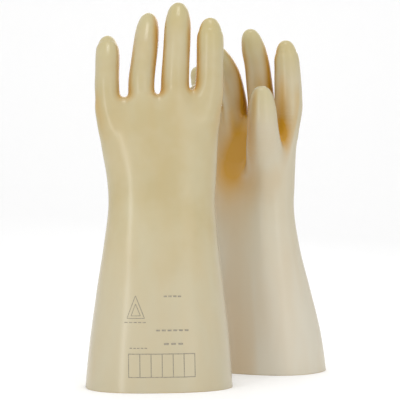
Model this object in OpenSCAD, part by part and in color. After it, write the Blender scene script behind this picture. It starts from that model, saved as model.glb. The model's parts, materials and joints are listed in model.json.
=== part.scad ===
// Pair of electrical insulating gloves, standing on their cuffs with the fingers up.
//
// Each glove is one dipped rubber skin. It is drawn as the stretches of that skin that stay stiff,
// which are the cuff, hand, thumb and two lengths of each finger, and as the short flex bands
// between them, where the thick rubber bends. All of them are hollow and open into each other.
//
// A glove is drawn in its own frame: X towards the thumb, Y towards the palm, Z up from the cuff
// edge. The left glove stands in front with its back forwards. The right one is its mirror image.

/* [Glove] */
// Length from the cuff edge to the tip of the middle finger
glove_length = 410; // [360:1:460]
// Thickness of the rubber
wall = 2.9; // [1.6:0.1:3.6]

/* [Cuff] */
// Width of the cuff edge
cuff_w = 150; // [144:1:172]
// Depth of the cuff edge, from back to palm
cuff_d = 122; // [104:1:134]

/* [Hand] */
// Width of the wrist
wrist_w = 113; // [104:1:122]
// Depth of the wrist
wrist_d = 66; // [58:1:78]
// Width of the hand across the finger roots
palm_w = 132; // [128:1:138]
// Depth of the hand at the ball of the thumb
palm_d = 56; // [50:1:62]

/* [Fingers] */
// Spacing of the finger roots
finger_pitch = 36.5; // [35:0.5:39]
// Thickness of a finger
finger_d = 26.5; // [23:0.5:28]
// Length of the little finger above its root bend
little_len = 64; // [58:1:72]
// Length of the ring finger above its root bend
ring_len = 90; // [80:1:96]
// Length of the index finger above its root bend
index_len = 65; // [60:1:74]
// Length of the thumb above its bend
thumb_len = 49; // [42:1:56]

/* [Pose] */
// How far the left glove's fingers are curled, in degrees
left_curl = 12; // [6:1:20]
// How far the right glove's fingers are curled
right_curl = 19; // [6:1:20]

/* [Standing] */
// How far the left glove's hand sways at its wrist, towards its thumb
left_sway = 4; // [-10:0.5:10]
// How far the right glove's hand sways
right_sway = -7; // [-10:0.5:10]
// Turn of the left glove about its own axis
left_yaw = 8; // [0:1:15]
// Turn of the right glove about its own axis
right_yaw = 33; // [25:1:50]
// Distance between the gloves, left to right
gap_x = 116; // [108:1:140]
// Distance between the gloves, front to back
gap_y = 160; // [140:1:190]

/* [Marking] */
// Width of one cell of the date table
cell_w = 10.8; // [9:0.1:12]
// Height of the date table
cell_h = 22; // [16:1:26]

/* [Hidden] */
FINGERS = ["little", "ring", "middle", "index"];
function glove_nodes(side) = concat(
    [for (p = ["cuff", "wrist_bend", "hand", "date_table", "marks"]) str(side, "_", p)],
    [for (f = FINGERS, p = ["root_bend", "root", "mid_bend", "tip"]) str(side, "_", f, "_", p)],
    [for (p = ["bend", "tip"]) str(side, "_thumb_", p)]);

slit = 0.3;              // gap between a flex band and the moving stretch beyond it
hand_sides = 40;         // sides of the cuff and hand sections
digit_sides = 16;        // sides of the finger sections
hand_square = 2.6;       // 2 is an ellipse, more is squarer

// Heights, worked up from the wrist, because a longer glove has a longer cuff.
hand_len = 215;                                 // wrist to the tip of the middle finger
wrist_z = glove_length - hand_len;              // middle of the wrist bend
wrist_band = 30;                                // length of the wrist's flex band
root_z = wrist_z + 108;                         // height of the webs between the fingers
thumb_z = wrist_z + 84;                         // height of the thumb's bend
wrist_y = 20;                                   // the wrist sits this far towards the palm side
root_y = 10;                                    // and the finger roots this far
finger_swing = 5;                               // the finger roots swing this far back from the thumb
root_d = finger_d + 7;                          // depth of the hand at the finger roots
middle_len = glove_length - (wrist_z + 129);    // above its root bend, when straight

root_band = 15;          // length of the flex band at a finger's root
mid_band = 14;           // length of the flex band at a finger's middle joint

// One row per finger: bend centre across the hand, height above the wrist, lean towards the thumb,
// length, radius, share of the length below the middle joint
function finger(f) =
    f == "little" ? [-1.5 * finger_pitch + 0.5, 117, 2, little_len, finger_d / 2 - 0.8, 0.50] :
    f == "ring"   ? [-0.5 * finger_pitch, 122, 8, ring_len, finger_d / 2 - 0.2, 0.48] :
    f == "middle" ? [0.5 * finger_pitch, 129, 4, middle_len, finger_d / 2 + 0.9, 0.48] :
                    [1.5 * finger_pitch + 0.5, 129, 1, index_len, finger_d / 2 + 1, 0.50];

// Curl of finger f on one glove, in degrees, from the curl of the glove
function curl_of(side, f) = side == "left"
    ? left_curl * (f == "little" ? 1.1 : f == "ring" ? 1 : f == "middle" ? 0.55 : 0.1)
    : right_curl * (f == "little" ? 1 : f == "ring" ? 1.25 : f == "middle" ? 0.75 : 0.25);

// ---- Rings of points ----

// Signed power, which squares up an ellipse
function sq(v, e) = sign(v) * pow(abs(v), 2 / e);

// Oval ring about centre c, with half sizes a along u and b along v
function oval(c, u, v, a, b, n, e = 2) =
    [for (i = [0 : n - 1]) let (t = 360 * i / n) c + u * a * sq(cos(t), e) + v * b * sq(sin(t), e)];

// Eases between 0 and 1, halfway between a straight line and a smooth step
function ease(t) = (t + t * t * (3 - 2 * t)) / 2;
function blend(a, b, t) = a + (b - a) * ease(min(1, max(0, t)));

// Half width, half depth and centre of the cuff and hand at height z. $sway is how far the wrist
// of the glove being drawn sways sideways.
function hand_a(z) = z < wrist_z
    ? blend(cuff_w, wrist_w, z / wrist_z) / 2
    : blend(wrist_w, palm_w, (z - wrist_z) / (root_z - wrist_z)) / 2;
function hand_b(z) = z < wrist_z
    ? blend(cuff_d, wrist_d, z / wrist_z) / 2
    : z < thumb_z - 30
    ? blend(wrist_d, palm_d, (z - wrist_z) / (thumb_z - 30 - wrist_z)) / 2
    : blend(palm_d, root_d, (z - thumb_z + 30) / (root_z - thumb_z + 30)) / 2;
function hand_y(z) = z < wrist_z
    ? blend(0, wrist_y, z / wrist_z)
    : blend(wrist_y, root_y, (z - wrist_z) / (root_z - wrist_z));
function hand_x(z) = z < wrist_z
    ? blend(0, $sway, z / wrist_z)
    : blend($sway, $sway - finger_swing, (z - wrist_z) / (root_z - wrist_z));
function hand_ring(z, inset = 0) =
    oval([hand_x(z), hand_y(z), z], [1, 0, 0], [0, 1, 0], hand_a(z) - inset, hand_b(z) - inset,
        hand_sides, hand_square);

// ---- Skins: closed solids between an outer and an inner surface ----

// Quads between ring i and ring j of n points each
function band(i, j, n) = [for (k = [0 : n - 1]) [i * n + k, i * n + (k + 1) % n, j * n + (k + 1) % n, j * n + k]];

// Open sleeve: outer rings from bottom to top, inner rings from top to bottom
module sleeve(outer, inner) {
    rings = concat(outer, inner);
    n = len(outer[0]);
    m = len(rings);
    polyhedron([for (r = rings) each r], [for (i = [0 : m - 1]) each band((i + 1) % m, i, n)], 2);
}

// Sleeve closed at the top: poles are the outer and inner end points
module thimble(outer, inner, pole_out, pole_in) {
    n = len(outer[0]);
    m = len(outer);
    rings = concat(outer, inner);
    points = concat([for (r = rings) each r], [pole_out, pole_in]);
    p = len(points) - 2;
    faces = concat(
        [for (i = [0 : m - 2]) each band(i + 1, i, n)],
        [for (i = [m : len(rings) - 2]) each band(i, i + 1, n)],
        band(0, m, n),
        [for (k = [0 : n - 1]) [p, (m - 1) * n + (k + 1) % n, (m - 1) * n + k]],
        [for (k = [0 : n - 1]) let (i = len(rings) - 1) [p + 1, i * n + k, i * n + (k + 1) % n]]);
    polyhedron(points, faces, 2);
}

// ---- Cuff, wrist and hand ----

module hand_sleeve(z0, z1, steps) {
    zs = [for (i = [0 : steps]) z0 + (z1 - z0) * i / steps];
    sleeve([for (z = zs) hand_ring(z)], [for (i = [steps : -1 : 0]) hand_ring(zs[i], wall)]);
}

module cuff() {
    color("wheat") hand_sleeve(0, wrist_z - wrist_band / 2, 7);
}

module wrist_bend() {
    color("burlywood") hand_sleeve(wrist_z - wrist_band / 2, wrist_z + wrist_band / 2 - slit, 4);
}

// Solid of the hand between the wrist and the finger roots
module hand_core(inset) {
    z0 = wrist_z + wrist_band / 2 - (inset > 0 ? 1 : 0);
    z1 = root_z - 9 - inset;
    steps = 5;
    n = hand_sides;
    rings = [for (i = [0 : steps]) hand_ring(z0 + (z1 - z0) * i / steps, inset)];
    polyhedron([for (r = rings) each r],
        concat([for (i = [0 : steps - 1]) each band(i + 1, i, n)],
            [[for (k = [0 : n - 1]) k], [for (k = [n - 1 : -1 : 0]) steps * n + k]]), 2);
}

// Thin disc across a digit at point c, square to direction d
module slice(c, d, u, a, b) {
    v = cross(d, u);
    multmatrix([[u[0], v[0], d[0], c[0]], [u[1], v[1], d[1], c[1]], [u[2], v[2], d[2], c[2]]])
        linear_extrude(0.02) scale([1, b / a]) circle(a, $fn = 24);
}

// Finger root: from the flattened top of the hand to the round start of the finger
module finger_stub(f, curl, inset) {
    q = finger_line(f, curl);
    r = finger(f)[4] - inset;
    low = root_z - 12;
    room = hand_a(low) - finger(f)[4] - 1;
    x = hand_x(low) + max(-room, min(room, q[0][0] - hand_x(low)));
    end = q[0] - q[3] * (root_band / 2 + (inset > 0 ? -1 : 0.02));
    hull() {
        slice([x, hand_y(low), low], [0, 0, 1], [1, 0, 0], r + 1, root_d / 2 - inset);
        slice(end, q[3], q[6], r, r);
    }
}

// Ball of the thumb, up to the thumb's flex band
module thumb_stub(inset) {
    end = thumb_c() - thumb_dir * (root_band / 2 + (inset > 0 ? -1 : 0.02));
    r = thumb_r - inset;
    hull() {
        translate(thumb_ball()) sphere(thumb_r + 5 - inset, $fn = 20);
        slice(end, thumb_dir, thumb_u, r, r);
    }
    hull() {
        translate(thumb_web()) sphere(thumb_r - inset, $fn = 20);
        translate(thumb_ball()) sphere(thumb_r + 3 - inset, $fn = 20);
    }
}

module hand_solid(side, inset) {
    hand_core(inset);
    for (f = FINGERS) finger_stub(f, curl_of(side, f), inset);
    thumb_stub(inset);
}

module hand(side) {
    color("wheat") difference() {
        hand_solid(side, 0);
        hand_solid(side, wall);
    }
}

// ---- Fingers ----

// Direction of a digit that leans towards the thumb and is bent towards the palm
function bent(lean, a) = [sin(lean) * cos(a), sin(a), cos(lean) * cos(a)];

// Bend points and directions of a finger:
// [root bend, middle bend, tip, stub direction, root direction, tip direction, hinge direction]
function finger_line(f, curl) =
    let (q = finger(f), c = curl)
    let (d0 = bent(q[2], c / 2), d1 = bent(q[2], c * 1.4), d2 = bent(q[2], c * 2.4))
    let (root = [q[0] + hand_x(root_z), hand_y(root_z), wrist_z + q[1]])
    let (mid = root + d1 * q[3] * q[5])
    [root, mid, mid + d2 * q[3] * (1 - q[5]), d0, d1, d2, [cos(q[2]), 0, -sin(q[2])]];

function ring_at(c, d, u, r) = oval(c, u, cross(d, u), r, r, digit_sides);

// Straight length of digit from point p to point q
module digit_sleeve(p, q, u, r0, r1) {
    d = (q - p) / norm(q - p);
    sleeve([ring_at(p, d, u, r0), ring_at(q, d, u, r1)],
        [ring_at(q, d, u, r1 - wall), ring_at(p, d, u, r0 - wall)]);
}

// Flex band round a bend at point c, from direction d0 to direction d1
module digit_bend(c, d0, d1, u, r, length) {
    steps = 3;
    half = length / 2;
    function at(t) = c - d0 * half * pow(1 - t, 2) + d1 * (half - slit) * t * t;
    function dir(t) = let (d = d0 * (1 - t) + d1 * t) d / norm(d);
    sleeve([for (i = [0 : steps]) ring_at(at(i / steps), dir(i / steps), u, r)],
        [for (i = [steps : -1 : 0]) ring_at(at(i / steps), dir(i / steps), u, r - wall)]);
}

// Closed fingertip from point p to the tip point q
module digit_tip(p, q, u, r0) {
    d = (q - p) / norm(q - p);
    r = r0 - 0.7;
    steps = 4;
    dome = q - d * r;
    function dome_ring(i, inset) = let (a = 90 * i / steps)
        ring_at(dome + d * (r - inset) * sin(a), d, u, (r - inset) * cos(a));
    thimble(concat([ring_at(p, d, u, r0)], [for (i = [0 : steps - 1]) dome_ring(i, 0)]),
        concat([ring_at(p, d, u, r0 - wall)], [for (i = [0 : steps - 1]) dome_ring(i, wall)]),
        q, q - d * wall);
}

module finger_root_bend(f, curl) {
    q = finger_line(f, curl);
    color("burlywood") digit_bend(q[0], q[3], q[4], q[6], finger(f)[4], root_band);
}

module finger_root(f, curl) {
    q = finger_line(f, curl);
    r = finger(f)[4];
    color("wheat") digit_sleeve(q[0] + q[4] * root_band / 2, q[1] - q[4] * mid_band / 2, q[6], r, r);
}

module finger_mid_bend(f, curl) {
    q = finger_line(f, curl);
    color("burlywood") digit_bend(q[1], q[4], q[5], q[6], finger(f)[4], mid_band);
}

module finger_tip(f, curl) {
    q = finger_line(f, curl);
    color("wheat") digit_tip(q[1] + q[5] * mid_band / 2, q[2], q[6], finger(f)[4]);
}

// ---- Thumb ----

thumb_r = finger_d / 2 + 3;
thumb_lean = 4;          // towards the thumb side of the hand
thumb_out = 10;          // towards the palm side
thumb_dir = bent(thumb_lean, thumb_out);
thumb_u = [cos(thumb_lean), 0, -sin(thumb_lean)];
function thumb_c() = [palm_w / 2 - 23 + $sway, wrist_y + 40, thumb_z];
function thumb_ball() = [palm_w / 2 - 30 + $sway, wrist_y + 12, thumb_z - 43];
function thumb_web() = [palm_w / 2 - 26 + $sway, wrist_y + 16, thumb_z - 26];

module thumb_bend() {
    color("burlywood") digit_bend(thumb_c(), thumb_dir, thumb_dir, thumb_u, thumb_r, root_band);
}

module thumb_tip() {
    color("wheat") digit_tip(thumb_c() + thumb_dir * root_band / 2, thumb_c() + thumb_dir * thumb_len,
        thumb_u, thumb_r);
}

// ---- Marking on the back of the cuff ----

ink_up = 0.05;           // clearance between the rubber and the ink
ink_t = 0.25;            // thickness of the ink
ink_step = 5;            // longest straight length in a line, so that it follows the curve
ink_w = 0.7;             // width of a ruled line
ink_gap = 0.3;           // gap where one ruled line meets another
table_x = -35;           // left end of the date table
table_z = 15;            // bottom of the date table
cells = 6;

// Depth of the back of the cuff at x and z
function cuff_back(x, z) =
    hand_y(z) - hand_b(z) * pow(1 - pow(abs(x - hand_x(z)) / hand_a(z), hand_square), 1 / hand_square);

// Strip of ink from p to q on the cuff's back, following its curve
module ink_line(p, q, w = ink_w) {
    steps = ceil(norm(q - p) / ink_step);
    d = (q - p) / norm(q - p);
    s = [-d[1], d[0]] * w / 2;
    function pt(v, lift) = [v[0], cuff_back(v[0], v[1]) - lift, v[1]];
    rings = [for (i = [0 : steps]) let (c = p + (q - p) * i / steps)
        [for (e = [[-1, 0], [1, 0], [1, 1], [-1, 1]]) pt(c + e[0] * s, ink_up + e[1] * ink_t)]];
    polyhedron([for (r = rings) each r],
        concat([for (i = [0 : steps - 1]) each band(i, i + 1, 4)],
            [[3, 2, 1, 0], [for (k = [0 : 3]) steps * 4 + k]]), 2);
}

// Table of date cells, ruled in ink
module date_table() {
    w = cells * cell_w;
    end = ink_w / 2 + ink_gap;
    color("dimgray") {
        for (z = [table_z, table_z + cell_h])
            ink_line([table_x - ink_w / 2, z], [table_x + w + ink_w / 2, z]);
        for (i = [0 : cells], x = table_x + i * cell_w)
            ink_line([x, table_z + end], [x, table_z + cell_h - end]);
    }
}

// Plain triangle and rows of dashes, in place of the printed words
module marks() {
    tri = [[table_x - 1, 71], [table_x + 17, 71], [table_x + 8, 93]];
    rows = [[10, 92, 19, 1.8], [9, 59, 34, 1.8], [10, 46, 21, 1.8]];
    color("dimgray") {
        for (i = [0 : 2]) let (p = tri[i], q = tri[(i + 1) % 3], d = (q - p) / norm(q - p))
            ink_line(p + d * 2 * ink_w, q - d * 2 * ink_w);
        for (r = rows, i = [0 : 2]) let (w = r[2] / 3)
            ink_line([r[0] - r[2] / 2 + i * w, r[1]], [r[0] - r[2] / 2 + i * w + w * 0.7, r[1]], r[3]);
    }
}

// ---- The two gloves where they stand ----

// Where the left glove stands, with the origin under the middle of the pair's outline
outline_shift = [-0.03, -4.13];
pair_x = outline_shift[0] - gap_x / 2;
pair_y = outline_shift[1] - gap_y / 2;

module place(side) {
    if (side == "left")
        translate([pair_x, pair_y, 0]) rotate([0, 0, left_yaw]) children();
    else
        translate([pair_x + gap_x, pair_y + gap_y, 0]) rotate([0, 0, -right_yaw]) mirror([0, 1, 0]) children();
}

for (side = ["left", "right"]) let ($sway = side == "left" ? left_sway : right_sway) {
    place(side) cuff();
    place(side) wrist_bend();
    place(side) hand(side);
    place(side) date_table();
    place(side) marks();
    place(side) thumb_bend();
    place(side) thumb_tip();
    for (f = FINGERS) let (curl = curl_of(side, f)) {
        place(side) finger_root_bend(f, curl);
        place(side) finger_root(f, curl);
        place(side) finger_mid_bend(f, curl);
        place(side) finger_tip(f, curl);
    }
}
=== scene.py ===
import json
import math

import bmesh
import bpy
import numpy as np
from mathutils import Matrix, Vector


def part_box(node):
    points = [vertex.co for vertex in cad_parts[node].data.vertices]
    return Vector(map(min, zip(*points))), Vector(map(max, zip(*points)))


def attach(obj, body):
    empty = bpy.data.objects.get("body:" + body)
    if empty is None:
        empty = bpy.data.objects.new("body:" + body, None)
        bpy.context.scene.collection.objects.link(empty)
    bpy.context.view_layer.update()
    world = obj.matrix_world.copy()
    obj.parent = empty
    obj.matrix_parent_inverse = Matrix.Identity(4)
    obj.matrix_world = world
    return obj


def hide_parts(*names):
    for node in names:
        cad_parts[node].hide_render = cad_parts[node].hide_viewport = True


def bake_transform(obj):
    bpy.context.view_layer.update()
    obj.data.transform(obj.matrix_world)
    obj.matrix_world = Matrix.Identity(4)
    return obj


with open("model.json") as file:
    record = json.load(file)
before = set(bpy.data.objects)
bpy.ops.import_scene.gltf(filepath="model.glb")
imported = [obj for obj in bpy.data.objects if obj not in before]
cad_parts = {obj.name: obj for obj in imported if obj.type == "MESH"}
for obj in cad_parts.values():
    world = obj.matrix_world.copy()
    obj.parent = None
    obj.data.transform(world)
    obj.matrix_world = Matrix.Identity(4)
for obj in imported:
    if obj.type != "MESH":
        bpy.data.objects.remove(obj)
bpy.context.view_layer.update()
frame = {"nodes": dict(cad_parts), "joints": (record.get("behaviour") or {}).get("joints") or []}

# ---- The bench and the studio --------------------------------------------------------------------
# The pair stands on a plain white sweep. A narrow upright soft box on the left puts a long soft
# highlight on the rubber. The others fill in from the right, from above and from behind.

left_low, left_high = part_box("left_cuff")
stand = (left_low + left_high) / 2

camera = bpy.data.objects.new("camera", bpy.data.cameras.new("camera"))
bpy.context.scene.collection.objects.link(camera)
camera.location = (stand.x + 0.042, stand.y - 1.0, 0.122)
camera.rotation_euler = (math.radians(90 + 3.96), 0, 0)
camera.data.lens = 86.6
camera.data.sensor_width = 36
bpy.context.scene.camera = camera
bpy.context.scene.view_settings.view_transform = "Standard"


def sweep(width, depth, height, bend):
    """Floor that curves up into a back wall, so that it has no horizon."""
    steps = 12
    profile = [(-depth / 2, 0.0), (depth / 2 - bend, 0.0)]
    for i in range(1, steps + 1):
        a = math.radians(90 * i / steps)
        profile.append((depth / 2 - bend + bend * math.sin(a), bend - bend * math.cos(a)))
    profile.append((depth / 2, height))
    points = [(side * width / 2, y, z) for y, z in profile for side in (-1, 1)]
    faces = [(2 * i, 2 * i + 1, 2 * i + 3, 2 * i + 2) for i in range(len(profile) - 1)]
    mesh = bpy.data.meshes.new("sweep")
    mesh.from_pydata(points, [], faces)
    mesh.polygons.foreach_set("use_smooth", [True] * len(faces))
    obj = bpy.data.objects.new("sweep", mesh)
    bpy.context.scene.collection.objects.link(obj)
    return obj


floor = sweep(width=6, depth=5, height=3, bend=1.0)
paper = bpy.data.materials.new("white_paper")
paper.use_nodes = True
paper.node_tree.nodes["Principled BSDF"].inputs["Base Color"].default_value = (0.99, 0.99, 0.99, 1)
paper.node_tree.nodes["Principled BSDF"].inputs["Roughness"].default_value = 0.9
floor.data.materials.append(paper)


def soft_box(name, place, aim, size, watts):
    """Oblong area light at place, turned to shine on aim."""
    lamp = bpy.data.lights.new(name, "AREA")
    lamp.shape = "RECTANGLE"
    lamp.size, lamp.size_y = size
    lamp.energy = watts
    obj = bpy.data.objects.new(name, lamp)
    obj.location = place
    obj.rotation_euler = (Vector(aim) - Vector(place)).to_track_quat("-Z", "Y").to_euler()
    bpy.context.scene.collection.objects.link(obj)


middle = (0, 0, 0.2)
soft_box("key", (-0.95, -1.6, 0.6), (-0.05, 0, 0.2), (0.13, 1.6), 6.5)
soft_box("fill", (0.9, -1.5, 0.6), (0.1, 0.1, 0.2), (0.5, 1.5), 3)
soft_box("top", (0.0, -0.5, 1.7), middle, (0.5, 0.5), 4)
soft_box("back", (0.2, 1.5, 1.2), middle, (1.6, 1.0), 7)

world = bpy.data.worlds.new("studio")
world.use_nodes = True
world.node_tree.nodes["Background"].inputs["Color"].default_value = (1, 1, 1, 1)
world.node_tree.nodes["Background"].inputs["Strength"].default_value = 0.885
bpy.context.scene.world = world

# ---- The two hand-shaped formers -----------------------------------------------------------------
# Each glove is dipped on a porcelain former: a flattened bell for the cuff, wrist and palm, with
# the fingers and thumb blended into it. A former is worked out in millimetres in the glove's own
# frame, X towards the thumb, Y towards the palm and Z up, from where the frame puts its bends.

SIDES = ("left", "right")
FINGERS = ("little", "ring", "middle", "index")
MM = 0.001
WALL = 2.9
joints = {j["name"]: j for j in frame["joints"]}


def corners(node):
    """Corner points of a CAD node, in millimetres."""
    mesh = frame["nodes"][node].data
    flat = np.zeros(len(mesh.vertices) * 3)
    mesh.vertices.foreach_get("co", flat)
    return flat.reshape(-1, 3) / MM


def unit(v):
    return v / np.linalg.norm(v)


class Standing:
    """Where a glove stands, with ways to go between its own frame and the row's."""

    def __init__(self, side):
        low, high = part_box(f"{side}_cuff")
        self.origin = np.array([(low.x + high.x) / 2, (low.y + high.y) / 2, 0]) / MM
        root = {f: np.array(joints[f"{side}_{f}_root"]["pos_m"]) / MM for f in FINGERS}
        across = (root["index"] - root["little"]) * [1, 1, 0]
        thumb = np.array(joints[f"{side}_thumb"]["pos_m"]) / MM - root["little"]
        palm = np.cross([0, 0, 1], unit(across))
        self.axes = np.array([unit(across), palm * np.sign(palm @ thumb), [0, 0, 1]])

    def to_glove(self, points):
        return (np.asarray(points) - self.origin) @ self.axes.T

    def to_row(self, points):
        return np.asarray(points) @ self.axes + self.origin


def round_off(points, passes=3):
    """Cuts the corners of a line of points, so that it bends smoothly."""
    for _ in range(passes):
        a, b = points[:-1], points[1:]
        cut = np.stack([0.75 * a + 0.25 * b, 0.25 * a + 0.75 * b], 1).reshape(-1, points.shape[1])
        points = np.vstack([points[:1], cut[1:-1], points[-1:]])
    return points


def smooth_min(a, b, reach):
    """The nearer of two surfaces, with a fillet where they meet."""
    h = np.clip(reach - np.abs(a - b), 0, None) / reach
    return np.minimum(a, b) - h * h * h * reach / 6


def along(z, zs, values):
    """Smooth curve through stations, read at z."""
    slope = np.gradient(values, zs)
    i = np.clip(np.searchsorted(zs, z) - 1, 0, len(zs) - 2)
    step = zs[i + 1] - zs[i]
    t = np.clip((z - zs[i]) / step, 0, 1)
    a, b = values[i], values[i + 1]
    ease = t * t * (3 - 2 * t)
    bow = step * (slope[i] * t * (1 - t) ** 2 - slope[i + 1] * t * t * (1 - t))
    return a + (b - a) * ease + bow


class Former:
    """The solid that a glove is dipped on, as a signed distance in millimetres."""

    def __init__(self, side):
        self.side = side
        self.stand = Standing(side)
        to_glove = self.stand.to_glove
        self.bend = {n: to_glove(np.array(j["pos_m"]) / MM) for n, j in joints.items()
                     if n.startswith(side) and "pos_m" in j}
        self.wrist = self.bend[f"{side}_wrist"]
        self.trunk = self.measure_trunk()
        roots = [self.bend[f"{side}_{f}_root"] for f in FINGERS]
        self.valleys = [(a + b) / 2 - [self.trunk[3, -1], 0, 10] for a, b in zip(roots, roots[1:])]
        self.digits = {f: self.finger(f) for f in FINGERS}
        self.digits["thumb"] = self.thumb()

    def measure_trunk(self):
        """Stations up the cuff and hand: height, half width, half depth, centre, arch."""
        low = self.stand.to_glove(corners(f"{self.side}_cuff"))
        rim = low[low[:, 2] < 0.5]
        band = self.stand.to_glove(corners(f"{self.side}_wrist_bend"))
        waist = band[np.abs(band[:, 2] - self.wrist[2]) < 1.5]
        a0, b0, _ = np.ptp(rim, axis=0) / 2
        a1, b1, _ = np.ptp(waist, axis=0) / 2
        x0, y0, _ = (rim.max(0) + rim.min(0)) / 2
        x1, y, z = self.wrist
        little, index = (self.bend[f"{self.side}_{f}_root"] for f in ("little", "index"))
        x2, y2 = (little[0] + index[0]) / 2 - 0.5, little[1]
        stations = [
            (-20, a0 + 1.5, b0 + 1.5, x0, y0, 0),
            (0, a0, b0, x0, y0, 0),
            (0.25 * z, a0 - 0.19 * (a0 - a1), b0 - 0.20 * (b0 - b1), x0 + 0.16 * (x1 - x0), 0.17 * y, 0),
            (0.50 * z, a0 - 0.48 * (a0 - a1), b0 - 0.50 * (b0 - b1), x0 + 0.5 * (x1 - x0), 0.50 * y, 0),
            (0.75 * z, a0 - 0.82 * (a0 - a1), b0 - 0.82 * (b0 - b1), x0 + 0.84 * (x1 - x0), 0.84 * y, 0.5),
            (z, a1, b1, x1, y, 1),
            (z + 22, a1 + 1.5, b1 - 1.5, x1 + 0.1 * (x2 - x1), y - 0.1 * (y - y2), 2),
            (z + 50, a1 + 4.8, b1 - 6, x1 + 0.5 * (x2 - x1), y - 0.4 * (y - y2), 3),
            (z + 80, a1 + 8.0, b1 - 13.5, x1 + 0.85 * (x2 - x1), y - 0.8 * (y - y2), 4),
            (z + 100, a1 + 9.5, b1 - 19.5, x2, y2, 3.5),
            (z + 130, a1 + 9.8, b1 - 22, x2, y2, 3),
        ]
        return np.array(stations, float).T

    def finger(self, f):
        """Points down the middle of a finger, each with its radius."""
        root = self.bend[f"{self.side}_{f}_root"]
        mid = self.bend[f"{self.side}_{f}_middle"]
        end = self.stand.to_glove(corners(f"{self.side}_{f}_tip"))
        tip = end[np.argmax(np.linalg.norm(end - mid, axis=1))]
        sleeve = self.stand.to_glove(corners(f"{self.side}_{f}_root"))
        run = unit(mid - root)
        arm = sleeve - root
        r = np.linalg.norm(arm - np.outer(arm @ run, run), axis=1).max()
        full = {"left": 0.3, "right": 1.3 if f == "middle" else 1.9}[self.side]
        heel = root + [(root[0] * -0.10), -1.0, -44]
        point = unit(tip - mid)
        dome = tip - point * (r - 4.2)
        line = np.array([
            [*heel, r - 1.5],
            [*(root - [0.02 * root[0], 0.5, 16]), r + 0.6 + full],
            [*root, r + 0.4 + full],
            [*(root * 0.5 + mid * 0.5), r - 0.1 + full],
            [*mid, r + 0.2 + 0.4 * full],
            [*(mid * 0.5 + dome * 0.5), r + 0.2 * full],
            [*(dome - point * 11), r - 0.9],
            [*(dome - point * 3.5), r - 2.4],
            [*dome, r - 4.2],
        ])
        return round_off(line)

    def thumb(self):
        """Points from the ball of the thumb to its tip, each with its radius."""
        root = self.bend[f"{self.side}_thumb"]
        end = self.stand.to_glove(corners(f"{self.side}_thumb_tip"))
        tip = end[np.argmax(np.linalg.norm(end - root, axis=1))]
        arm = end - root
        run = unit(tip - root)
        r = np.linalg.norm(arm - np.outer(arm @ run, run), axis=1).max()
        dome = tip - run * (r - 4.5)
        palm = self.wrist[1]
        line = np.array([
            [root[0] - 21, palm - 2, root[2] - 84, r + 2.0],
            [root[0] - 14, palm + 8, root[2] - 54, r + 6.0],
            [root[0] - 7, palm + 24, root[2] - 26, r + 5.2],
            [*root, r + 1.2],
            [*(root * 0.55 + dome * 0.45), r + 0.4],
            [*(dome - run * 10), r - 1.2],
            [*(dome - run * 3.5), r - 2.6],
            [*dome, r - 4.5],
        ])
        return round_off(line)

    def trunk_distance(self, p):
        x, y, z = p.T
        zs, half_w, half_d, mid_x, mid_y, arch = self.trunk
        a, b = along(z, zs, half_w), along(z, zs, half_d)
        x, y = x - along(z, zs, mid_x), y - along(z, zs, mid_y)
        bow = along(z, zs, arch) * (1 - np.clip(x / a, -1, 1) ** 2)
        u, v = np.abs(x / a), np.abs(y + bow) / b
        n = 2.5
        r = (u ** n + v ** n + 1e-9) ** (1 / n)
        slope = np.hypot((u / r) ** (n - 1) / a, (v / r) ** (n - 1) / b) + 1e-6
        wall = (r - 1) / slope
        scoop = 12 * np.exp(-((x + 6) / 34) ** 2 - ((z - self.wrist[2] - 68) / 40) ** 2)
        wall = wall + scoop * np.clip(y / 14, 0, 1) ** 2
        for valley in self.valleys:
            dent = np.exp(-((x - valley[0]) / 6.5) ** 2 - ((z - valley[2] + 2) / 17) ** 2)
            wall = wall + 3.2 * dent * np.clip(-y / 10, 0, 1)
        top = self.wrist[2] + 107 + x * 0.15
        return -smooth_min(-wall, top - z, 16)

    def digit_distance(self, name, p):
        """Distance to one digit. Points well clear of it are given a plain large one."""
        line = self.digits[name]
        out = np.full(len(p), 60.0)
        near = ((p > line[:, :3].min(0) - 45) & (p < line[:, :3].max(0) + 45)).all(1)
        q = p[near]
        best = np.full(len(q), 1e3)
        for a, b in zip(line[:-1], line[1:]):
            run = b[:3] - a[:3]
            t = np.clip((q - a[:3]) @ run / (run @ run), 0, 1)
            gap = np.linalg.norm(q - a[:3] - t[:, None] * run, axis=1) - (a[3] + t * (b[3] - a[3]))
            best = np.minimum(best, gap)
        out[near] = np.minimum(best, 60)
        return out

    def web(self, p):
        """The web between little and ring finger, drawn higher on the right glove than on the left."""
        foot = sum(self.bend[f"{self.side}_{f}_root"] for f in ("little", "ring")) / 2 - [0, 0, 24]
        rise = np.clip(p[:, 2] - foot[2], 0, 19 if self.side == "right" else 0)
        return np.linalg.norm(p - foot - rise[:, None] * [0, 0.05, 1], axis=1) - 7.5

    def __call__(self, p):
        d = self.trunk_distance(p)
        fingers = self.digit_distance("little", p)
        for f in FINGERS[1:]:
            fingers = smooth_min(fingers, self.digit_distance(f, p), 9)
        d = smooth_min(d, fingers, 13)
        d = smooth_min(d, self.digit_distance("thumb", p), 24)
        x, y, z = p.T
        ripple = np.sin(x / 19 + z / 47 + 1.3) * np.sin(z / 29 - x / 61) + 0.6 * np.sin(y / 17 + z / 37)
        return smooth_min(d, self.web(p), 12) + 0.28 * ripple

    def normal(self, p, h=0.3):
        corner = np.array([[1, -1, -1], [-1, -1, 1], [-1, 1, -1], [1, 1, 1]])
        grad = sum(k * self(p + h * k)[:, None] for k in corner) / (4 * h)
        size = np.linalg.norm(grad, axis=1, keepdims=True)
        return grad / np.maximum(size, 1e-9), np.maximum(size[:, 0], 0.2)


formers = {side: Former(side) for side in SIDES}

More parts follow.
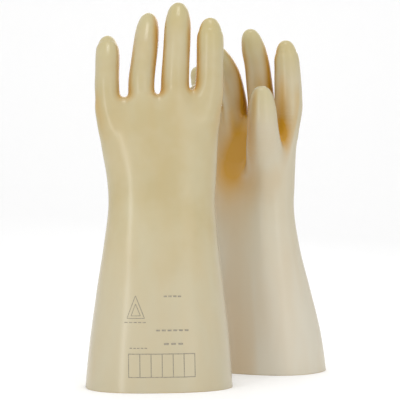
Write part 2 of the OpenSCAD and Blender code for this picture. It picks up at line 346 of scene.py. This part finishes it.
# ---- The dipped skins ----------------------------------------------------------------------------
# The former is dipped in latex over and over until the skin is thick, then the skin is cured and
# stripped off. The skin is found here as a net of small quads on the former's surface, smoothed
# and pulled back onto it, with an inner surface a wall's thickness inside.

NET = 2.1


def net_over(field, low, high, step):
    """Quads where field crosses zero: one point in each cell it passes through.

    The field is read on every fourth knot first, and on all of them only near the surface.
    """
    axes = [np.arange(a, b + step, step) for a, b in zip(low, high)]
    shape = tuple(len(a) for a in axes)
    grid = np.stack(np.meshgrid(*axes, indexing="ij"), -1).reshape(-1, 3)
    block = 4
    knots = np.zeros(shape, bool)
    knots[::block, ::block, ::block] = True
    value = field(grid[knots.ravel()]).reshape([-(-n // block) for n in shape])
    for k in range(3):
        value = np.repeat(value, block, k)
    value = value[:shape[0], :shape[1], :shape[2]].ravel()
    near = np.flatnonzero(np.abs(value) < 2 * block * step)
    for part in np.array_split(near, 8):
        value[part] = field(grid[part])
    value = value.reshape(shape)
    total = np.zeros(shape + (3,))
    count = np.zeros(shape)
    quads = []
    for k in range(3):
        near = [slice(1, -1)] * 3
        far = [slice(1, -1)] * 3
        near[k], far[k] = slice(0, -1), slice(1, None)
        v0, v1 = value[tuple(near)], value[tuple(far)]
        crossed = np.argwhere((v0 < 0) != (v1 < 0))
        first = v0[tuple(crossed.T)]
        t = first / (first - v1[tuple(crossed.T)])
        node = crossed + [int(i != k) for i in range(3)]
        point = np.stack([axes[i][node[:, i]] for i in range(3)], 1)
        point[:, k] += t * step
        i, j = (k + 1) % 3, (k + 2) % 3
        ring = []
        for di, dj in ((-1, -1), (0, -1), (0, 0), (-1, 0)):
            cell = node.copy()
            cell[:, i] += di
            cell[:, j] += dj
            np.add.at(total, tuple(cell.T), point)
            np.add.at(count, tuple(cell.T), 1)
            ring.append(np.ravel_multi_index(tuple(cell.T), shape))
        ring = np.stack(ring, 1)
        ring[first > 0] = ring[first > 0][:, ::-1]
        quads.append(ring)
    quads = np.vstack(quads)
    used, quads = np.unique(quads, return_inverse=True)
    total, count = total.reshape(-1, 3)[used], count.reshape(-1)[used]
    return total / count[:, None], quads.reshape(-1, 4)


def settle(points, quads, former, passes=5):
    """Evens out the net and keeps it on the former."""
    pairs = np.vstack([quads[:, [i, (i + 1) % 4]] for i in range(4)])
    pairs = np.vstack([pairs, pairs[:, ::-1]])
    links = np.bincount(pairs[:, 0], minlength=len(points))[:, None]
    for _ in range(passes):
        mean = np.zeros_like(points)
        np.add.at(mean, pairs[:, 0], points[pairs[:, 1]])
        points = points + 0.6 * (mean / links - points)
        n, slope = former.normal(points)
        points = points - n * np.clip(former(points) / slope, -3, 3)[:, None]
    return points


def skin_of(former):
    top = max(line[-1, 2] for line in former.digits.values()) + 25
    reach = max(line[:, 1].max() for line in former.digits.values()) + 28
    a, b = former.trunk[1].max() + 9, former.trunk[2].max() + 9
    points, quads = net_over(former, (-a, -b, -3 * NET), (a, max(b, reach), top), NET)
    return settle(points, quads, former), quads


# ---- Cutting a skin at its bends -----------------------------------------------------------------
# The real skin is whole. It is parted here, edge to edge, square across each finger, the thumb and
# the wrist, into flex bands, each lying between two stiff stretches.

WRIST_BAND = 30
ROOT_BAND = 15
MID_BAND = 14


class Cut:
    """Plane across one digit, or across the whole skin where digit is None."""

    def __init__(self, digit, point, normal):
        self.digit, self.point, self.normal = digit, np.asarray(point, float), unit(normal)

    def side_of(self, p):
        return (p - self.point) @ self.normal


def cuts_for(former):
    """The cuts of a skin, in order from the stiff stretch below each bend to the one above."""
    side, up = former.side, np.array([0, 0, 1.0])
    z = former.wrist[2]
    cuts = {"wrist": [Cut(None, [0, 0, z + s * WRIST_BAND / 2], up) for s in (-1, 1)]}
    for f in FINGERS:
        root, mid = former.bend[f"{side}_{f}_root"], former.bend[f"{side}_{f}_middle"]
        tip = former.digits[f][-1, :3]
        run, end = unit(mid - root), unit(tip - mid)
        below = unit(run + unit(root - former.digits[f][0, :3]))
        across = unit(run + end)
        cuts[f] = [Cut(f, root + below * s * ROOT_BAND / 2, below) for s in (-1, 1)]
        cuts[f] += [Cut(f, mid + across * s * MID_BAND / 2, across) for s in (-1, 1)]
    root = former.bend[f"{side}_thumb"]
    run = unit(former.digits["thumb"][-1, :3] - root)
    cuts["thumb"] = [Cut("thumb", root + run * s * ROOT_BAND / 2, run) for s in (-1, 1)]
    return cuts


def nearest_digit(former, p):
    names = list(former.digits)
    gaps = np.stack([former.digit_distance(n, p) for n in names], 1)
    return np.array(names)[gaps.argmin(1)], gaps.min(1)


def part_skin(former, points, quads):
    """Cuts the skin and returns its points, its faces and the name of each face's stretch."""
    bm = bmesh.new()
    for p in points:
        bm.verts.new(p)
    bm.verts.ensure_lookup_table()
    for q in quads:
        bm.faces.new([bm.verts[i] for i in q])
    bmesh.ops.bisect_plane(bm, geom=bm.verts[:] + bm.edges[:] + bm.faces[:], dist=0.02,
                           plane_co=(0, 0, 0), plane_no=(0, 0, 1), clear_inner=True)
    cuts = cuts_for(former)
    for name, planes in cuts.items():
        for cut in planes:
            bm.faces.ensure_lookup_table()
            middle_of = np.array([f.calc_center_median() for f in bm.faces])
            near = np.flatnonzero(np.abs(cut.side_of(middle_of)) < 6)
            if cut.digit:
                owner, gap = nearest_digit(former, middle_of[near])
                near = near[(owner == cut.digit) & (gap < 8)]
            faces = [bm.faces[i] for i in near]
            edges = list({e for f in faces for e in f.edges})
            verts = list({v for f in faces for v in f.verts})
            bmesh.ops.bisect_plane(bm, geom=verts + edges + faces, dist=0.02,
                                   plane_co=cut.point, plane_no=cut.normal)
    bm.verts.index_update()
    bm.faces.ensure_lookup_table()
    middle_of = np.array([f.calc_center_median() for f in bm.faces])
    owner, gap = nearest_digit(former, middle_of)
    name = np.full(len(middle_of), "hand", dtype="<U20")
    name[cuts["wrist"][1].side_of(middle_of) < 0] = "wrist_bend"
    name[cuts["wrist"][0].side_of(middle_of) < 0] = "cuff"
    for f in FINGERS:
        own = (owner == f) & (middle_of[:, 2] > former.wrist[2] + 90)
        for cut, stretch in zip(cuts[f], ("root_bend", "root", "mid_bend", "tip")):
            name[own & (cut.side_of(middle_of) > 0)] = f"{f}_{stretch}"
    own = (owner == "thumb") & (gap < 8)
    for cut, stretch in zip(cuts["thumb"], ("bend", "tip")):
        name[own & (cut.side_of(middle_of) > 0)] = f"thumb_{stretch}"
    points = np.array([v.co for v in bm.verts])
    faces = [[v.index for v in f.verts] for f in bm.faces]
    bm.free()
    return points, faces, name, cuts


# ---- The latex -----------------------------------------------------------------------------------
# Natural latex, cured to a satin cream. It is milky, so light that has gone through it or bounced
# between two walls comes out amber. The shader lets a little light through; the rest of that amber
# is painted shade, mixed into the colour in hollows, in the cup of the palm, on the inner wall and
# facing the other glove. Each dip leaves faint clouds and runs.


def socket(tree, name, kind, side="INPUT", value=None):
    made = tree.interface.new_socket(name=name, in_out=side, socket_type=kind)
    if value is not None:
        made.default_value = value
    return made


def clouds_group():
    """Soft clouds and downward runs, as dipping leaves them."""
    tree = bpy.data.node_groups.new("dip_clouds", "ShaderNodeTree")
    socket(tree, "Cloud Size", "NodeSocketFloat", value=16.0)
    socket(tree, "Run Length", "NodeSocketFloat", value=0.25)
    socket(tree, "Clouds", "NodeSocketFloat", "OUTPUT")
    socket(tree, "Runs", "NodeSocketFloat", "OUTPUT")
    socket(tree, "Fine", "NodeSocketFloat", "OUTPUT")
    n, link = tree.nodes, tree.links.new
    inputs, out = n.new("NodeGroupInput"), n.new("NodeGroupOutput")
    where = n.new("ShaderNodeTexCoord")
    cloud = n.new("ShaderNodeTexNoise")
    cloud.inputs["Detail"].default_value = 3
    cloud.inputs["Roughness"].default_value = 0.55
    link(where.outputs["Object"], cloud.inputs["Vector"])
    link(inputs.outputs["Cloud Size"], cloud.inputs["Scale"])
    stretch = n.new("ShaderNodeVectorMath")
    stretch.operation = "MULTIPLY"
    combine = n.new("ShaderNodeCombineXYZ")
    combine.inputs["X"].default_value = 1
    combine.inputs["Y"].default_value = 1
    link(inputs.outputs["Run Length"], combine.inputs["Z"])
    link(where.outputs["Object"], stretch.inputs[0])
    link(combine.outputs["Vector"], stretch.inputs[1])
    run = n.new("ShaderNodeTexNoise")
    run.inputs["Scale"].default_value = 42
    run.inputs["Detail"].default_value = 2
    link(stretch.outputs["Vector"], run.inputs["Vector"])
    fine = n.new("ShaderNodeTexNoise")
    fine.inputs["Scale"].default_value = 900
    fine.inputs["Detail"].default_value = 2
    link(where.outputs["Object"], fine.inputs["Vector"])
    link(cloud.outputs["Fac"], out.inputs["Clouds"])
    link(run.outputs["Fac"], out.inputs["Runs"])
    link(fine.outputs["Fac"], out.inputs["Fine"])
    return tree


CLOUDS = clouds_group()
CREAM = (0.555, 0.47, 0.262, 1)
PALE = (0.60, 0.53, 0.335, 1)
CUFF = (0.60, 0.545, 0.39, 1)
# Amber serves both as painted shade, in hollows and beside the other glove, and as the real tint of the
# faint dip runs.
AMBER = (0.60, 0.315, 0.022, 1)
PALM = (0.71, 0.665, 0.55, 1)
OLIVE = (0.555, 0.485, 0.215, 1)


def mix_colour(tree, factor, a, b):
    """Mix of two colours. Each is a colour value or a socket, and so is the factor."""
    node = tree.nodes.new("ShaderNodeMix")
    node.data_type = "RGBA"
    for value, target in ((factor, node.inputs[0]), (a, node.inputs[6]), (b, node.inputs[7])):
        if isinstance(value, bpy.types.NodeSocket):
            tree.links.new(value, target)
        else:
            target.default_value = value
    return node.outputs[2]


def fit_range(tree, value, low, high, to_low, to_high):
    node = tree.nodes.new("ShaderNodeMapRange")
    tree.links.new(value, node.inputs["Value"])
    for name, number in zip(("From Min", "From Max", "To Min", "To Max"), (low, high, to_low, to_high)):
        node.inputs[name].default_value = number
    return node.outputs["Result"]


def latex(name, cream, roughness, see_through):
    """Latex coloured by its painted shade, which turns it amber, and by how thin, low down or near the
    palm each point is.
    """
    mat = bpy.data.materials.new(name)
    mat.use_nodes = True
    tree = mat.node_tree
    link = tree.links.new
    shader = tree.nodes["Principled BSDF"]
    clouds = tree.nodes.new("ShaderNodeGroup")
    clouds.node_tree = CLOUDS
    tone = {}
    for label in ("hollow", "thin", "low", "palm"):
        read = tree.nodes.new("ShaderNodeAttribute")
        read.attribute_name = label
        tone[label] = read.outputs["Fac"]
    cloudy = fit_range(tree, clouds.outputs["Clouds"], 0.35, 0.65, 0, 1)
    base = mix_colour(tree, cloudy, cream, PALE)
    base = mix_colour(tree, fit_range(tree, tone["low"], 0, 1, 0, 0.85), base, CUFF)
    base = mix_colour(tree, fit_range(tree, tone["palm"], 0, 1, 0, 0.95), base, PALM)
    base = mix_colour(tree, fit_range(tree, tone["thin"], 0, 1, 0, 0.6), base, OLIVE)
    # Painted shade: amber mixed in by the shade tone in hollows, the cup of the palm and where the other
    # glove stands near.
    base = mix_colour(tree, fit_range(tree, tone["hollow"], 0.08, 0.55, 0, 1), base, AMBER)
    streak = fit_range(tree, clouds.outputs["Runs"], 0.3, 0.7, 0.0, 0.10)
    base = mix_colour(tree, streak, base, AMBER)
    link(base, shader.inputs["Base Color"])
    link(fit_range(tree, clouds.outputs["Runs"], 0.3, 0.7, roughness - 0.015, roughness + 0.02),
         shader.inputs["Roughness"])
    shader.inputs["IOR"].default_value = 1.5
    shader.inputs["Specular IOR Level"].default_value = 0.45
    shader.inputs["Sheen Weight"].default_value = 0.08
    shader.inputs["Sheen Roughness"].default_value = 0.5
    bump = tree.nodes.new("ShaderNodeBump")
    bump.inputs["Strength"].default_value = 0.5
    bump.inputs["Distance"].default_value = 0.00015
    link(clouds.outputs["Runs"], bump.inputs["Height"])
    link(bump.outputs["Normal"], shader.inputs["Normal"])
    glow = tree.nodes.new("ShaderNodeBsdfTranslucent")
    link(base, glow.inputs["Color"])
    both = tree.nodes.new("ShaderNodeMixShader")
    both.inputs["Fac"].default_value = see_through
    link(shader.outputs["BSDF"], both.inputs[1])
    link(glow.outputs["BSDF"], both.inputs[2])
    link(both.outputs["Shader"], tree.nodes["Material Output"].inputs["Surface"])
    return mat


outside = latex("latex_outside", CREAM, 0.23, 0.18)
inside = latex("latex_inside", (0.62, 0.45, 0.22, 1), 0.55, 0.18)
cut_edge = latex("latex_cut_edge", (0.60, 0.46, 0.24, 1), 0.5, 0.18)

# ---- Making the stretches of each glove ----------------------------------------------------------
# Every stretch is a closed wall: outer surface, inner surface and the ends between them. The cuff's
# lower end is the trimmed edge, with its corners just rubbed off.

LIP = 0.7

def hollowness(former, points, normals):
    """Painted shade: how shut in a point is, 0 on an open bulge, towards 1 in a deep hollow or where the
    other glove shades it.

    The cup of the palm is given painted shade by choice, on top of what its shape gives. The result is
    mixed into the colour as amber.
    """
    free = 0
    reaches = (5, 12, 24, 42)
    for t in reaches:
        free = free + np.clip(former(points + normals * t) / t, 0, 1) / len(reaches)
    other = formers["left" if former.side == "right" else "right"]
    clear = 0
    spans = (15, 35, 55, 80)
    for t in spans:
        seen = other.stand.to_glove(former.stand.to_row(points + normals * t))
        clear = clear + np.clip(other(seen) / (0.42 * t), 0, 1) / len(spans)
    x, _, z = (points - former.wrist).T
    # Extra painted shade in the cup of the palm.
    cup = np.exp(-((x + 12) / 36) ** 2 - ((z - 58) / 56) ** 2) * np.clip(normals[:, 1] * 2 + 0.4, 0, 1)
    free = free + (1 - free) * 0.35 * np.clip((z - 85) / 20, 0, 1)
    return 1 - free * (1 - 0.9 * (1 - clear) ** 1.5) + 0.5 * cup


def thinness(former, points):
    """1 at fingertips, where the rubber stretches thin on the former, falling to 0."""
    out = np.zeros(len(points))
    for line in former.digits.values():
        gap = np.linalg.norm(points - line[-1, :3], axis=1)
        out = np.maximum(out, np.clip(1 - (gap - 8) / 32, 0, 1))
    return out


def palmness(former, points, normals):
    """Towards 1 where the surface faces the palm side, and less the thumb side, of the cuff, hand and
    thumb, more so down the cuff and less up the fingers; towards 0 on the back. The colour is mixed paler
    there.
    """
    facing = np.clip(0.45 + 0.9 * normals[:, 1] + 0.35 * normals[:, 0], 0, 1)
    digit, _ = nearest_digit(former, points)
    finger = (digit != "thumb") * np.clip((points[:, 2] - former.wrist[2] - 70) / 30, 0, 1)
    return facing * (0.68 + 0.32 * lowness(former, points)) * (1 - 0.6 * finger)


def lowness(former, points):
    """0 at the wrist and above, rising to 1 down the cuff, where the rubber is palest."""
    t = np.clip(1 - (points[:, 2] - 40) / (former.wrist[2] - 30), 0, 1)
    return t * t * (3 - 2 * t)


def make_stretch(side, former, name, skin):
    """One stretch as a mesh object: outer wall, inner wall and ends."""
    points, normals, tones, faces, names = skin
    own = [f for f, n in zip(faces, names) if n == name]
    used = np.unique(np.concatenate([np.array(f) for f in own]))
    index = {v: i for i, v in enumerate(used)}
    outer = [[index[v] for v in f] for f in own]
    count = len(used)
    edges = {}
    for f in outer:
        for a, b in zip(f, f[1:] + f[:1]):
            edges[(a, b)] = edges.get((a, b), 0) + 1
    open_edges = [(a, b) for a, b in edges if (b, a) not in edges]
    p, n = points[used], normals[used]
    rim = np.zeros(count, bool)
    trim = name == "cuff"
    if trim:
        rim = np.abs(p[:, 2]) < 0.05
    p_out, p_in = p.copy(), p - n * WALL
    p_in[rim, 2] = 0
    rows = [p_out, p_in]
    all_faces = [(f, 0) for f in outer] + [([v + count for v in f[::-1]], 1) for f in outer]
    loops_normal = [[n[v] for v in f] for f in outer] + [[-n[v] for v in f[::-1]] for f in outer]
    if trim:
        flat_n = n[rim] * [1, 1, 0]
        flat_n /= np.linalg.norm(flat_n, axis=1, keepdims=True)
        down = np.array([0, 0, -1.0])
        rim_index = {v: i for i, v in enumerate(np.flatnonzero(rim))}
        p_out[rim, 2] = LIP
        p_in[rim, 2] = LIP
        chain = []
        for turn in (0, 30, 60, 90):
            s, c = math.sin(math.radians(turn)), math.cos(math.radians(turn))
            ring = p[rim] - flat_n * LIP * (1 - c)
            ring[:, 2] = LIP * (1 - s)
            chain.append((ring, flat_n * c + down * s))
        inner_rim = p_in[rim] * [1, 1, 0]
        for turn in (90, 60, 30, 0):
            s, c = math.sin(math.radians(turn)), math.cos(math.radians(turn))
            ring = inner_rim + flat_n * LIP * (1 - c)
            ring[:, 2] = LIP * (1 - s)
            chain.append((ring, -flat_n * c + down * s))
        start = 2 * count
        rows += [c[0] for c in chain[1:-1]]
        m = int(rim.sum())

        def spot(step, v):
            if step == 0:
                return v
            if step == len(chain) - 1:
                return v + count
            return start + (step - 1) * m + rim_index[v]

        for a, b in open_edges:
            if rim[a] and rim[b]:
                ia, ib = rim_index[a], rim_index[b]
                for step in range(len(chain) - 1):
                    face = [spot(step, b), spot(step, a), spot(step + 1, a), spot(step + 1, b)]
                    all_faces.append((face, 2))
                    n0, n1 = chain[step][1], chain[step + 1][1]
                    loops_normal.append([n0[ib], n0[ia], n1[ia], n1[ib]])
    for a, b in open_edges:
        if not (rim[a] and rim[b]):
            face = [b, a, a + count, b + count]
            all_faces.append((face, 2))
            v = np.cross(p[a] - p[b], -n[a] * WALL)
            loops_normal.append([v / (np.linalg.norm(v) + 1e-9)] * 4)
    place = np.vstack(rows)
    if side == "right":
        all_faces = [(f[::-1], k) for f, k in all_faces]
        loops_normal = [l[::-1] for l in loops_normal]
    mesh = bpy.data.meshes.new(f"{side}_{name}_skin")
    mesh.from_pydata((former.stand.to_row(place) * MM).tolist(), [], [f for f, _ in all_faces])
    mesh.polygons.foreach_set("use_smooth", [True] * len(all_faces))
    mesh.polygons.foreach_set("material_index", [k for _, k in all_faces])
    for mat in (outside, inside, cut_edge):
        mesh.materials.append(mat)
    extra = len(place) - 2 * count
    for label, values in tones.items():
        values = values[used]
        # Painted shade on the inner wall is an even 0.45, and on the rounded rim 0.15; the rim takes 0 for
        # the other tones.
        within = np.full(count, 0.45) if label == "hollow" else values
        tail = np.full(extra, 0.15 if label == "hollow" else 0.0)
        layer = mesh.attributes.new(label, "FLOAT", "POINT")
        layer.data.foreach_set("value", np.concatenate([values, within, tail]).astype(np.float32))
    turned = np.array([v for l in loops_normal for v in l]) @ former.stand.axes
    mesh.normals_split_custom_set(turned.tolist())
    obj = bpy.data.objects.new(f"{side}_{name}_skin", mesh)
    bpy.context.scene.collection.objects.link(obj)
    return obj


def bend_between(obj, former, cuts):
    """Works out where the band's lower and upper cuts lie, then leaves them unused, and bakes the band's
    transform into its mesh. The band is not bent and not attached to a body.
    """
    start, end = (former.stand.to_row(c.point) * MM for c in cuts)
    tuple(start)
    tuple(end)
    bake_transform(obj)


def dip_and_part(side):
    former = formers[side]
    points, faces, names, cuts = part_skin(former, *skin_of(former))
    normals, _ = former.normal(points)
    # The first tone is painted shade: amber in hollows, in the cup of the palm and facing the other glove.
    tones = {"hollow": hollowness(former, points, normals), "thin": thinness(former, points),
             "low": lowness(former, points), "palm": palmness(former, points, normals)}
    skin = (points, normals, tones, faces, names)
    made = {}
    for name in sorted(set(names)):
        made[name] = make_stretch(side, former, name, skin)
        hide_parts(f"{side}_{name}")
    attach(made["cuff"], f"{side}_cuff")
    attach(made["hand"], f"{side}_hand")
    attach(made["thumb_tip"], f"{side}_thumb")
    bend_between(made["wrist_bend"], former, cuts["wrist"])
    bend_between(made["thumb_bend"], former, cuts["thumb"])
    for f in FINGERS:
        root, tip = f"{side}_{f}_root", f"{side}_{f}_tip"
        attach(made[f"{f}_root"], root)
        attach(made[f"{f}_tip"], tip)
        bend_between(made[f"{f}_root_bend"], former, cuts[f][:2])
        bend_between(made[f"{f}_mid_bend"], former, cuts[f][2:])
    return made


gloves = {side: dip_and_part(side) for side in SIDES}

# ---- The printed marking -------------------------------------------------------------------------
# Each cuff is printed on its back with a grid of boxes for test dates, a triangle with a smaller one
# inside it and rows of dashes. The ink is a thin grey film, a little worn. It has no words.

LINE = 0.8
INK = 0.22
CELLS = 6
CELL_WIDTH = 10.8
GRID_LOW = np.array([-35.0, 15.0])
GRID_HIGH = GRID_LOW + [CELLS * CELL_WIDTH, 22]


def printing():
    """Lays flat lines on a curved wall as a film of ink, looking along Print Direction."""
    tree = bpy.data.node_groups.new("printed_lines", "GeometryNodeTree")
    for label, kind in (("Lines", "NodeSocketGeometry"), ("Rubber", "NodeSocketObject"),
                        ("Line Width", "NodeSocketFloat"), ("Ink Thickness", "NodeSocketFloat"),
                        ("Print Direction", "NodeSocketVector"), ("Ink", "NodeSocketMaterial")):
        socket(tree, label, kind)
    socket(tree, "Print", "NodeSocketGeometry", "OUTPUT")
    n, link = tree.nodes, tree.links.new
    given, out = n.new("NodeGroupInput").outputs, n.new("NodeGroupOutput")
    path = n.new("GeometryNodeMeshToCurve")
    link(given["Lines"], path.inputs["Mesh"])
    even = n.new("GeometryNodeResampleCurve")
    even.mode = "LENGTH"
    even.inputs["Length"].default_value = 0.002
    link(path.outputs["Curve"], even.inputs["Curve"])
    wall = n.new("GeometryNodeObjectInfo")
    link(given["Rubber"], wall.inputs["Object"])
    ray = n.new("GeometryNodeRaycast")
    ray.inputs["Ray Length"].default_value = 0.3
    link(wall.outputs["Geometry"], ray.inputs["Target Geometry"])
    link(given["Print Direction"], ray.inputs["Ray Direction"])
    lay = n.new("GeometryNodeSetPosition")
    link(even.outputs["Curve"], lay.inputs["Geometry"])
    link(ray.outputs["Hit Position"], lay.inputs["Position"])
    face = n.new("GeometryNodeSetCurveNormal")
    face.mode = "FREE"
    flip = n.new("ShaderNodeVectorMath")
    flip.operation = "SCALE"
    flip.inputs["Scale"].default_value = -1
    link(given["Print Direction"], flip.inputs[0])
    link(lay.outputs["Geometry"], face.inputs["Curve"])
    link(flip.outputs["Vector"], face.inputs["Normal"])
    strip = n.new("GeometryNodeCurvePrimitiveQuadrilateral")
    link(given["Ink Thickness"], strip.inputs["Width"])
    link(given["Line Width"], strip.inputs["Height"])
    film = n.new("GeometryNodeCurveToMesh")
    film.inputs["Fill Caps"].default_value = True
    link(face.outputs["Curve"], film.inputs["Curve"])
    link(strip.outputs["Curve"], film.inputs["Profile Curve"])
    real = n.new("GeometryNodeRealizeInstances")
    link(film.outputs["Mesh"], real.inputs["Geometry"])
    dress = n.new("GeometryNodeSetMaterial")
    link(real.outputs["Geometry"], dress.inputs["Geometry"])
    link(given["Ink"], dress.inputs["Material"])
    link(dress.outputs["Geometry"], out.inputs["Print"])
    return tree


def printing_ink():
    """Grey ink that has dried patchy, with the rubber showing through where it is thin."""
    mat = bpy.data.materials.new("printing_ink")
    mat.use_nodes = True
    tree = mat.node_tree
    shader = tree.nodes["Principled BSDF"]
    clouds = tree.nodes.new("ShaderNodeGroup")
    clouds.node_tree = CLOUDS
    worn = fit_range(tree, clouds.outputs["Fine"], 0.35, 0.65, 0, 1)
    ink = mix_colour(tree, worn, (0.23, 0.21, 0.17, 1), (0.36, 0.32, 0.23, 1))
    tree.links.new(ink, shader.inputs["Base Color"])
    tree.links.new(fit_range(tree, clouds.outputs["Runs"], 0.3, 0.7, 0.5, 0.6), shader.inputs["Roughness"])
    return mat


PRINTING = printing()
INK_FILM = printing_ink()


def print_on(side, lines, width):
    """Prints lines, given across and up the back of a cuff in millimetres, and returns the mesh."""
    former = formers[side]
    ends = np.array([(x, former.wrist[1] - 95, z) for line in lines for x, z in line])
    flat = bpy.data.meshes.new("flat_lines")
    flat.from_pydata((former.stand.to_row(ends) * MM).tolist(),
                     [(i, i + 1) for i in range(0, len(ends), 2)], [])
    obj = bpy.data.objects.new("flat_lines", flat)
    bpy.context.scene.collection.objects.link(obj)
    press = obj.modifiers.new("press", "NODES")
    press.node_group = PRINTING
    given = {"Rubber": gloves[side]["cuff"], "Line Width": width * MM, "Ink Thickness": INK * MM,
             "Print Direction": tuple(former.stand.axes[1]), "Ink": INK_FILM}
    for item in PRINTING.interface.items_tree:
        if item.name in given:
            press[item.identifier] = given[item.name]
    bpy.context.view_layer.update()
    ready = obj.evaluated_get(bpy.context.evaluated_depsgraph_get())
    mesh = bpy.data.meshes.new_from_object(ready)
    bpy.data.objects.remove(obj)
    return mesh


def ink_piece(side, name, prints):
    """One piece of print from several meshes, riding on its cuff."""
    bm = bmesh.new()
    for mesh in prints:
        bm.from_mesh(mesh)
    bmesh.ops.recalc_face_normals(bm, faces=bm.faces[:])
    mesh = bpy.data.meshes.new(f"{side}_{name}_print")
    bm.to_mesh(mesh)
    bm.free()
    mesh.materials.append(INK_FILM)
    obj = bpy.data.objects.new(f"{side}_{name}_print", mesh)
    bpy.context.scene.collection.objects.link(obj)
    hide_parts(f"{side}_{name}")
    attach(obj, f"{side}_cuff")


def date_boxes():
    (x0, z0), (x1, z1) = GRID_LOW, GRID_HIGH
    half = LINE / 2
    rails = [((x0 - half, z), (x1 + half, z)) for z in (z0, z1)]
    bars = [((x, z0 + half), (x, z1 - half)) for x in x0 + CELL_WIDTH * np.arange(CELLS + 1)]
    return rails + bars


def triangle(left, low, width, height):
    p = [(left, low), (left + width, low), (left + width / 2, low + height)]
    return [(p[i], p[(i + 1) % 3]) for i in range(3)]


def dashes(middle, height, length, count):
    run = length / count
    starts = middle - length / 2 + run * np.arange(count)
    return [((x, height), (x + 0.68 * run, height)) for x in starts]


for side in SIDES:
    ink_piece(side, "date_table", [print_on(side, date_boxes(), LINE)])
    ink_piece(side, "marks", [
        print_on(side, triangle(-36, 71, 17, 22) + triangle(-32, 73.5, 9, 11.5), 0.75),
        print_on(side, dashes(-27.5, 67, 22, 5), 1.2),
        print_on(side, dashes(10, 92, 19, 4), 2.4),
        print_on(side, dashes(9, 59, 34, 6), 2.4),
        print_on(side, dashes(10, 46, 21, 3), 2.8),
        print_on(side, dashes(-25, 42.5, 18, 5), 1.0),
    ])
